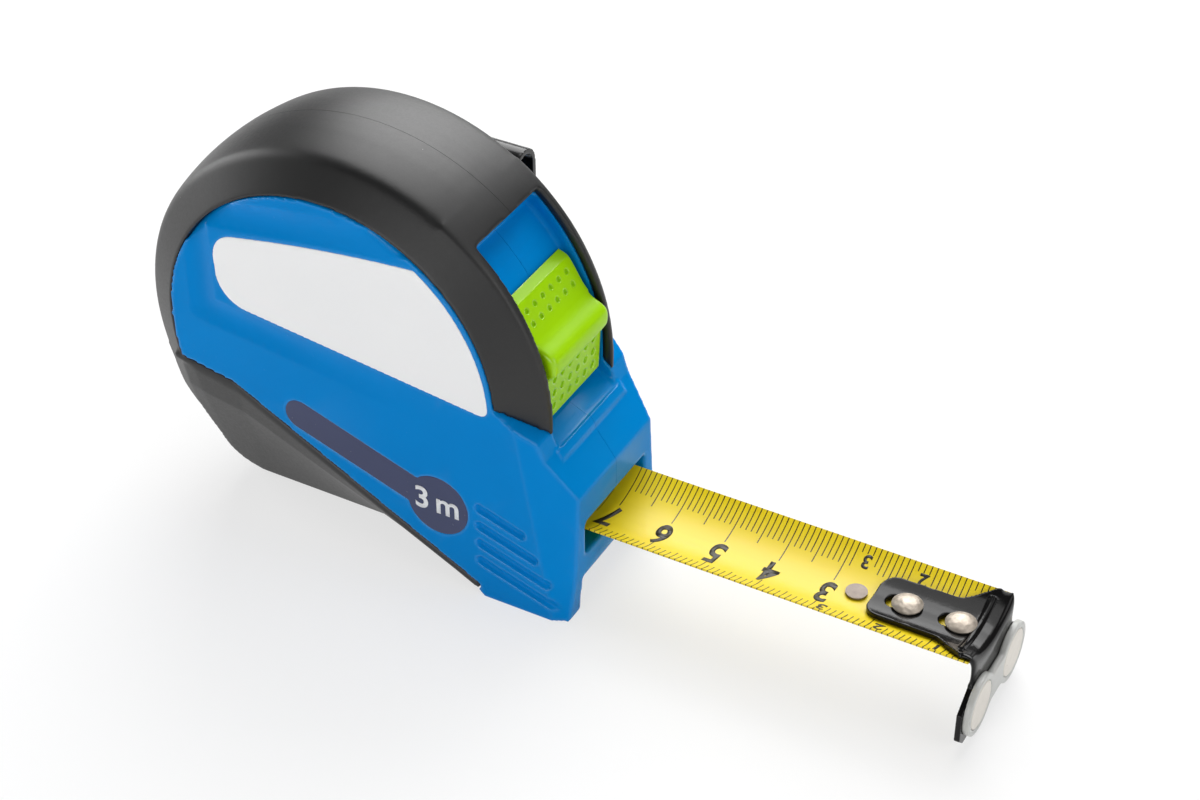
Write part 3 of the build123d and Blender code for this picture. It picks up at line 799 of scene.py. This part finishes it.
def cross_bars():
    """Two crossed bars in the head of each screw."""
    bars = []
    for place, top in heads:
        centre = (place + Vector((0, top, 0))) * MM
        for size in ((2.4, 1.2, 0.6), (0.6, 1.2, 2.4)):
            bpy.ops.object.select_all(action="DESELECT")
            bpy.ops.mesh.primitive_cube_add(size=1, location=centre, scale=Vector(size) * MM)
            bars.append(bpy.context.object)
    return join("cross_tool", bars)


def smooth(piece, angle):
    """Smooths the light over edges that turn by less than an angle, and keeps broad faces flat."""
    focus(piece)
    bpy.ops.object.shade_smooth_by_angle(angle=math.radians(angle))
    apply_modifier(piece, "WEIGHTED_NORMAL", weight=80, keep_sharp=True)


# %% Screws
for node, name in (("case_screws", "case_screw_set"), ("clip_screw", "clip_screw_head")):
    screw = merged_copy(node, name)
    apply_modifier(
        screw,
        "BEVEL",
        width=0.15 * MM,
        segments=2,
        limit_method="ANGLE",
        angle_limit=math.radians(30),
        use_clamp_overlap=False,
    )
    carve(screw, cross_bars())
    smooth(screw, 38)
    dress(screw, "case", "nickel", nickel, node)

# %% [markdown]
# ## The tape
# The tape is a thin steel strip, flat on the reel and sprung into a shallow trough outside. It is
# made as by hand: one line along the tape is spun about the trough's own axis, its rear row is
# pulled back and flattened where it leaves the reel, and the sheet is given its thickness. The part
# inside the case carries the stretch when the tape runs out, so it has many rows.

# %% Tape sheet
trough_r = 17.763
trough_steps = 28
tape_half = 9.5
tape_thick = 0.3
half_turn = math.asin(tape_half / (trough_r + tape_thick))
flat_z = 14.825
tape_end = 111.8
tape_zero = 114.2
mouth_x = 44.0
curl_x = 14.0
edge_y = trough_r * math.sin(half_turn)
edge_z = trough_z - trough_r * math.cos(half_turn)

bpy.ops.object.select_all(action="DESELECT")
bpy.ops.mesh.primitive_plane_add(size=2 * edge_y * MM, location=(0, 0, edge_z * MM))
blade = bpy.context.object
blade.name = "printed_blade"
bpy.ops.object.transform_apply(location=True)
edit(blade)
pick(blade, lambda p: p.y > 0)
bpy.ops.mesh.delete(type="VERT")
pick(blade, lambda p: p.x < 0)
bpy.ops.transform.translate(value=((curl_x + edge_y) * MM, 0, 0))
pick(blade, lambda p: abs(p.x - edge_y) < 0.01)
bpy.ops.transform.translate(value=((mouth_x - edge_y) * MM, 0, 0))
bpy.ops.mesh.select_all(action="SELECT")
bpy.ops.mesh.subdivide(number_cuts=47)
pick(blade, lambda p: p.x > mouth_x - 0.01)
outside = ((tape_end - mouth_x) * MM, 0, 0)
bpy.ops.mesh.extrude_vertices_move(TRANSFORM_OT_translate={"value": outside})
bpy.ops.mesh.select_all(action="SELECT")
bpy.ops.mesh.spin(
    steps=trough_steps, angle=-2 * half_turn, center=(0, 0, trough_z * MM), axis=(1, 0, 0)
)
close_edit()
low = min(v.co.z for v in blade.data.vertices) / MM
rows = len(blade.data.vertices) // (trough_steps + 1)
print("trough floor at", round(low, 3), "mm, rows:", rows)

# %% Flat tail of the tape
edit(blade)
pick(blade, lambda p: p.x < curl_x + 0.01)
bpy.ops.mesh.extrude_edges_move(TRANSFORM_OT_translate={"value": (-curl_x * MM, 0, 0)})
bpy.ops.transform.resize(value=(1, 1, 0), center_override=(0, 0, flat_z * MM))
bpy.ops.mesh.select_mode(type="EDGE")
bpy.ops.mesh.select_all(action="DESELECT")
bpy.ops.object.mode_set(mode="OBJECT")
for edge in blade.data.edges:
    first, second = (blade.data.vertices[i].co.x / MM for i in edge.vertices)
    edge.select = max(first, second) < curl_x + 0.01 and abs(first - second) > 1
bpy.ops.object.mode_set(mode="EDIT")
bpy.ops.mesh.subdivide(number_cuts=23)
bpy.ops.mesh.select_mode(type="VERT")
bpy.ops.mesh.select_all(action="SELECT")
bpy.ops.mesh.remove_doubles(threshold=0.001 * MM)
bpy.ops.mesh.normals_make_consistent(inside=False)
close_edit()
if blade.data.polygons[0].normal.z < 0:
    edit(blade)
    bpy.ops.mesh.flip_normals()
    close_edit()
apply_modifier(blade, "SOLIDIFY", thickness=tape_thick * MM, offset=-1)
print("tape faces:", len(blade.data.polygons), "up:", blade.data.polygons[0].normal.z > 0)

# %% [markdown]
# ## The print
# The print is black ticks at each millimetre along both edges, longer at each half and whole
# centimetre. They are too many to model, so the finish draws them from the tape's own map: across
# the map lies the distance from the hook in centimetres, and up it the place across the tape in
# millimetres. Where the tape stretches inside the case, the map runs on to the whole length, so the
# decimetre marks come out at their true places. The ticks leave gaps for the small digits, which
# stand a little short of their centimetres.

# %% Map of the tape
longest = 293.0


def out_share(x):
    """Share of the tape's travel that a place along the stretch follows."""
    share = min(max(x / mouth_x, 0), 1)
    return share * share * (3 - 2 * share)


print_map = blade.data.uv_layers.new(name="print")
for loop in blade.data.loops:
    corner = blade.data.vertices[loop.vertex_index].co / MM
    from_hook = (tape_zero - corner.x) / 10 + longest * (1 - out_share(corner.x))
    print_map.data[loop.index].uv = (from_hook, corner.y)
print("the map ends at", tape_zero / 10 + longest, "cm")

# %% Ticks
tape = Finish("yellow_lacquer", Specular_IOR_Level=0.35)
on_tape = tape.add("ShaderNodeUVMap", {"uv_map": "print"}, {})
along, side, _ = tape.split(on_tape)
ticks_end = 7.03
close_by = 0.03
far_short = 3.4
near_short = 1.6
millimetre = (along * 10).off_centre() < 0.095
half = (along * 2).off_centre() < 2 * close_by
whole = along.off_centre() < close_by
first_three = along < 3.3
place_in_cm = along.part()
far_gap = (abs(place_in_cm - (1 - far_short / 10)) < 0.18) * first_three
near_gap = (abs(place_in_cm - (1 - near_short / 10)) < 0.11) * first_three
far_length = 4.5 + 1.7 * half + 2.1 * whole - 2.9 * far_gap
near_length = 2.8 + 0.6 * half + 1.0 * whole - 1.9 * near_gap
far_tick = side > tape_half - far_length
near_tick = side < near_length - tape_half
ticks = millimetre * (far_tick + near_tick) * (along < ticks_end)
decimetre = ((along / 10).off_centre() < 0.012) * (along > ticks_end) * (side > -2.0)

# %% Printed lacquer
ink = ticks.largest(decimetre)
cloud_scale = {"Vector": on_tape, "Scale": 0.6, "Detail": 2.0}
cloud = tape.add("ShaderNodeTexNoise", {}, cloud_scale, "Fac")
yellow = tape.blend(cloud, shade(228, 200, 18), shade(234, 209, 32))
tape.colour(tape.blend(ink, yellow, shade(38, 34, 20)))
tape.roughness(0.3 + 0.12 * cloud)
smooth(blade, 30)
blade.data.materials.append(tape.material)
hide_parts("tape_blade")
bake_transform(blade)
print(blade.name, "stretches from case to blade")

# %% [markdown]
# ## Digits
# The centimetre numbers are plain digits that stand across the tape and read from its far side.
# Each is a text object made into a mesh, cut into narrow strips so that it can follow the trough,
# laid on the tape by a shrinkwrap modifier with a hair of height, and given the thickness of a coat
# of ink. The length on the dark disc is made the same way, but lies flat.


# %% Lettering
def lettering(text, size, place, turned, weight, narrow=1.0, word_gap=1.0):
    """Flat text as a mesh, centred on a place, with its strokes made bolder by a weight."""
    bpy.ops.object.select_all(action="DESELECT")
    bpy.ops.object.text_add(location=[part * MM for part in place], rotation=turned)
    letters = bpy.context.object
    letters.data.body = text
    letters.data.size = size * MM
    letters.data.space_word = word_gap
    letters.data.align_x = "CENTER"
    letters.data.align_y = "CENTER"
    letters.data.resolution_u = 6
    letters.data.offset = weight * MM
    letters.scale.x = narrow
    bpy.ops.object.convert(target="MESH")
    bpy.ops.object.transform_apply(location=True, rotation=True, scale=True)
    return letters


def digit(number, size, short_by, side, narrow=1.0):
    """Flat digit above the tape, short of its centimetre, with its head to the near side."""
    place = (tape_zero - (10 * number - short_by), side, 20)
    letter = lettering(str(number), size, place, (0, 0, math.pi), 0.028 * size, narrow)
    edit(letter)
    bpy.ops.mesh.remove_doubles(threshold=0.016 * size * MM)
    close_edit()
    return letter


# %% Digits on the tape
strip_width = 0.4
letters = [digit(n, size=8.4, short_by=0, side=-2.2, narrow=0.68) for n in range(3, 8)]
letters += [digit(n, size=3.4, short_by=far_short, side=6.7) for n in range(2, 4)]
letters += [digit(n, size=3.5, short_by=near_short, side=-7.3) for n in range(1, 4)]
digits = join("blade_digits", letters)
edit(digits)
for strip in range(-22, 19):
    bpy.ops.mesh.select_all(action="SELECT")
    bpy.ops.mesh.bisect(plane_co=(0, strip * strip_width * MM, 0), plane_no=(0, 1, 0))
bpy.ops.mesh.select_all(action="SELECT")
bpy.ops.mesh.remove_doubles(threshold=0.01 * MM)
close_edit()
apply_modifier(
    digits,
    "SHRINKWRAP",
    target=blade,
    wrap_method="PROJECT",
    use_project_z=True,
    use_negative_direction=True,
    use_positive_direction=False,
    offset=0.02 * MM,
)
apply_modifier(digits, "SOLIDIFY", thickness=0.016 * MM, offset=-1)
dress(digits, "blade", "yellow_tape", black_ink)

# %% Length on the dark disc
disc = (18.5, -16.19, 17.0)
length_mark = lettering("3 m", 6.3, disc, (math.pi / 2, 0, 0), weight=0.12, word_gap=0.6)
length_mark.name = "length_mark"
apply_modifier(length_mark, "SOLIDIFY", thickness=0.03 * MM, offset=-1)
dress(length_mark, "case", "white_plate", white_ink)

# %% [markdown]
# ## Solids that stay
# The rivets, the post, the reel, its spring, the brake and the rest are right as they are. Copies
# could be softened too, but most lie out of sight, so each only gets a finish.

# %% Plain solids
plain = {
    nickel: ["hook_rivets", "blade_end_strip"],
    inner_plastic: ["centre_post", "reel", "reel_cover"],
    spring_steel: ["return_spring", "tape_coil"],
    dull_steel: ["stop_rivet"],
    lime: ["brake_arm"],
    rubber: ["brake_pad"],
}
for finish, names in plain.items():
    for name in names:
        for holder in nodes[name].material_slots:
            holder.material = finish.material
        print(name, "in", finish.material.name)

# %% [markdown]
# ## Floor
# The object stands on a pale floor. The floor's own colour makes the ground pale. More light would
# make it whiter, but would bleach the object too. So rays from the camera, and those that a gloss
# or a clear plastic sends on, see it paler still, and quite white further away. It keeps the shadow
# without more light on the object.

# %% Floor
floor_size = 60
floor_grey = 0.88
bpy.ops.object.select_all(action="DESELECT")
bpy.ops.mesh.primitive_plane_add(size=floor_size, location=(0, 0, 0))
floor = bpy.context.object
floor.name = "floor"
ground = Finish("pale_floor", Roughness=0.9, Specular_IOR_Level=0.0)
ground.colour((floor_grey, floor_grey, floor_grey, 1))
seen = ground.add("ShaderNodeLightPath", {}, {}, "Is Camera Ray")
for kind in ("Is Glossy Ray", "Is Transmission Ray"):
    seen = seen.largest(ground.add("ShaderNodeLightPath", {}, {}, kind))
from_middle = {0: ground.place()}
far_away = ground.add("ShaderNodeVectorMath", {"operation": "LENGTH"}, from_middle, "Value")
paleness = 0.68 + 0.32 * far_away.ramp(0.3, 1.2)
glow = ground.add("ShaderNodeEmission", {}, {"Color": (1, 1, 1, 1), "Strength": 1.0})
lit = Value(ground, ground.shader.outputs[0])
both = ground.add("ShaderNodeMixShader", {}, {0: seen * paleness, 1: lit, 2: glow})
ground.feed(ground.tree.nodes["Material Output"].inputs["Surface"], both)
floor.data.materials.append(ground.material)
print("floor:", floor_size, "m wide")

# %% [markdown]
# ## Light and camera
# A studio lights such an object with large soft lamps. Two above and behind it draw the crown,
# weaker ones light the panel, the left end and the nose, and one hangs over the stretch where the
# tape runs out. One strong lamp would be simpler, but would leave the rubber a black patch. The
# camera stands where the photograph was taken from.

# %% Lamps
world = bpy.data.worlds.new("studio")
bpy.context.scene.world = world
world.use_nodes = True
background = world.node_tree.nodes["Background"]
background.inputs["Color"].default_value = (1, 1, 1, 1)
background.inputs["Strength"].default_value = 0.06


def lamp(name, place, size, power, aim=(0.02, 0.0, 0.03)):
    """Square soft lamp that looks at the middle of the object, or at another place."""
    bpy.ops.object.light_add(type="AREA", location=place)
    light = bpy.context.object
    light.name = name
    light.data.size = size
    light.data.energy = power
    light.rotation_euler = (Vector(aim) - Vector(place)).to_track_quat("-Z", "Y").to_euler()
    print(name, power, "W")


lamp("lamp_top", (0.0, 0.5, 1.1), size=0.9, power=7)
lamp("lamp_behind", (-0.25, 0.85, 0.72), size=0.9, power=13)
lamp("lamp_left", (-1.2, 0.0, 0.3), size=0.8, power=9)
lamp("lamp_front", (0.0, -1.25, 0.18), size=0.8, power=7.5)
lamp("lamp_right", (1.0, -0.35, 0.35), size=0.7, power=2.5)
lamp("lamp_run", (2.3, 0.0, 1.5), size=2.2, power=24, aim=(2.3, 0.0, 0.0))

# %% Camera
bpy.context.scene.view_settings.view_transform = "Standard"
turn = math.radians(28.7)
rise = math.radians(37.2)
back = Vector(
    (math.sin(turn) * math.cos(rise), -math.cos(turn) * math.cos(rise), math.sin(rise))
)
target = Vector((0.04107, 0, 0.0364))
distance = 0.413
bpy.ops.object.camera_add(location=target + distance * back)
camera = bpy.context.object
camera.rotation_euler = (-back).to_track_quat("-Z", "Y").to_euler()
camera.data.sensor_width = 36
camera.data.lens = 75
camera.data.clip_start = 0.01
bpy.context.scene.camera = camera
print("camera:", distance, "m away")
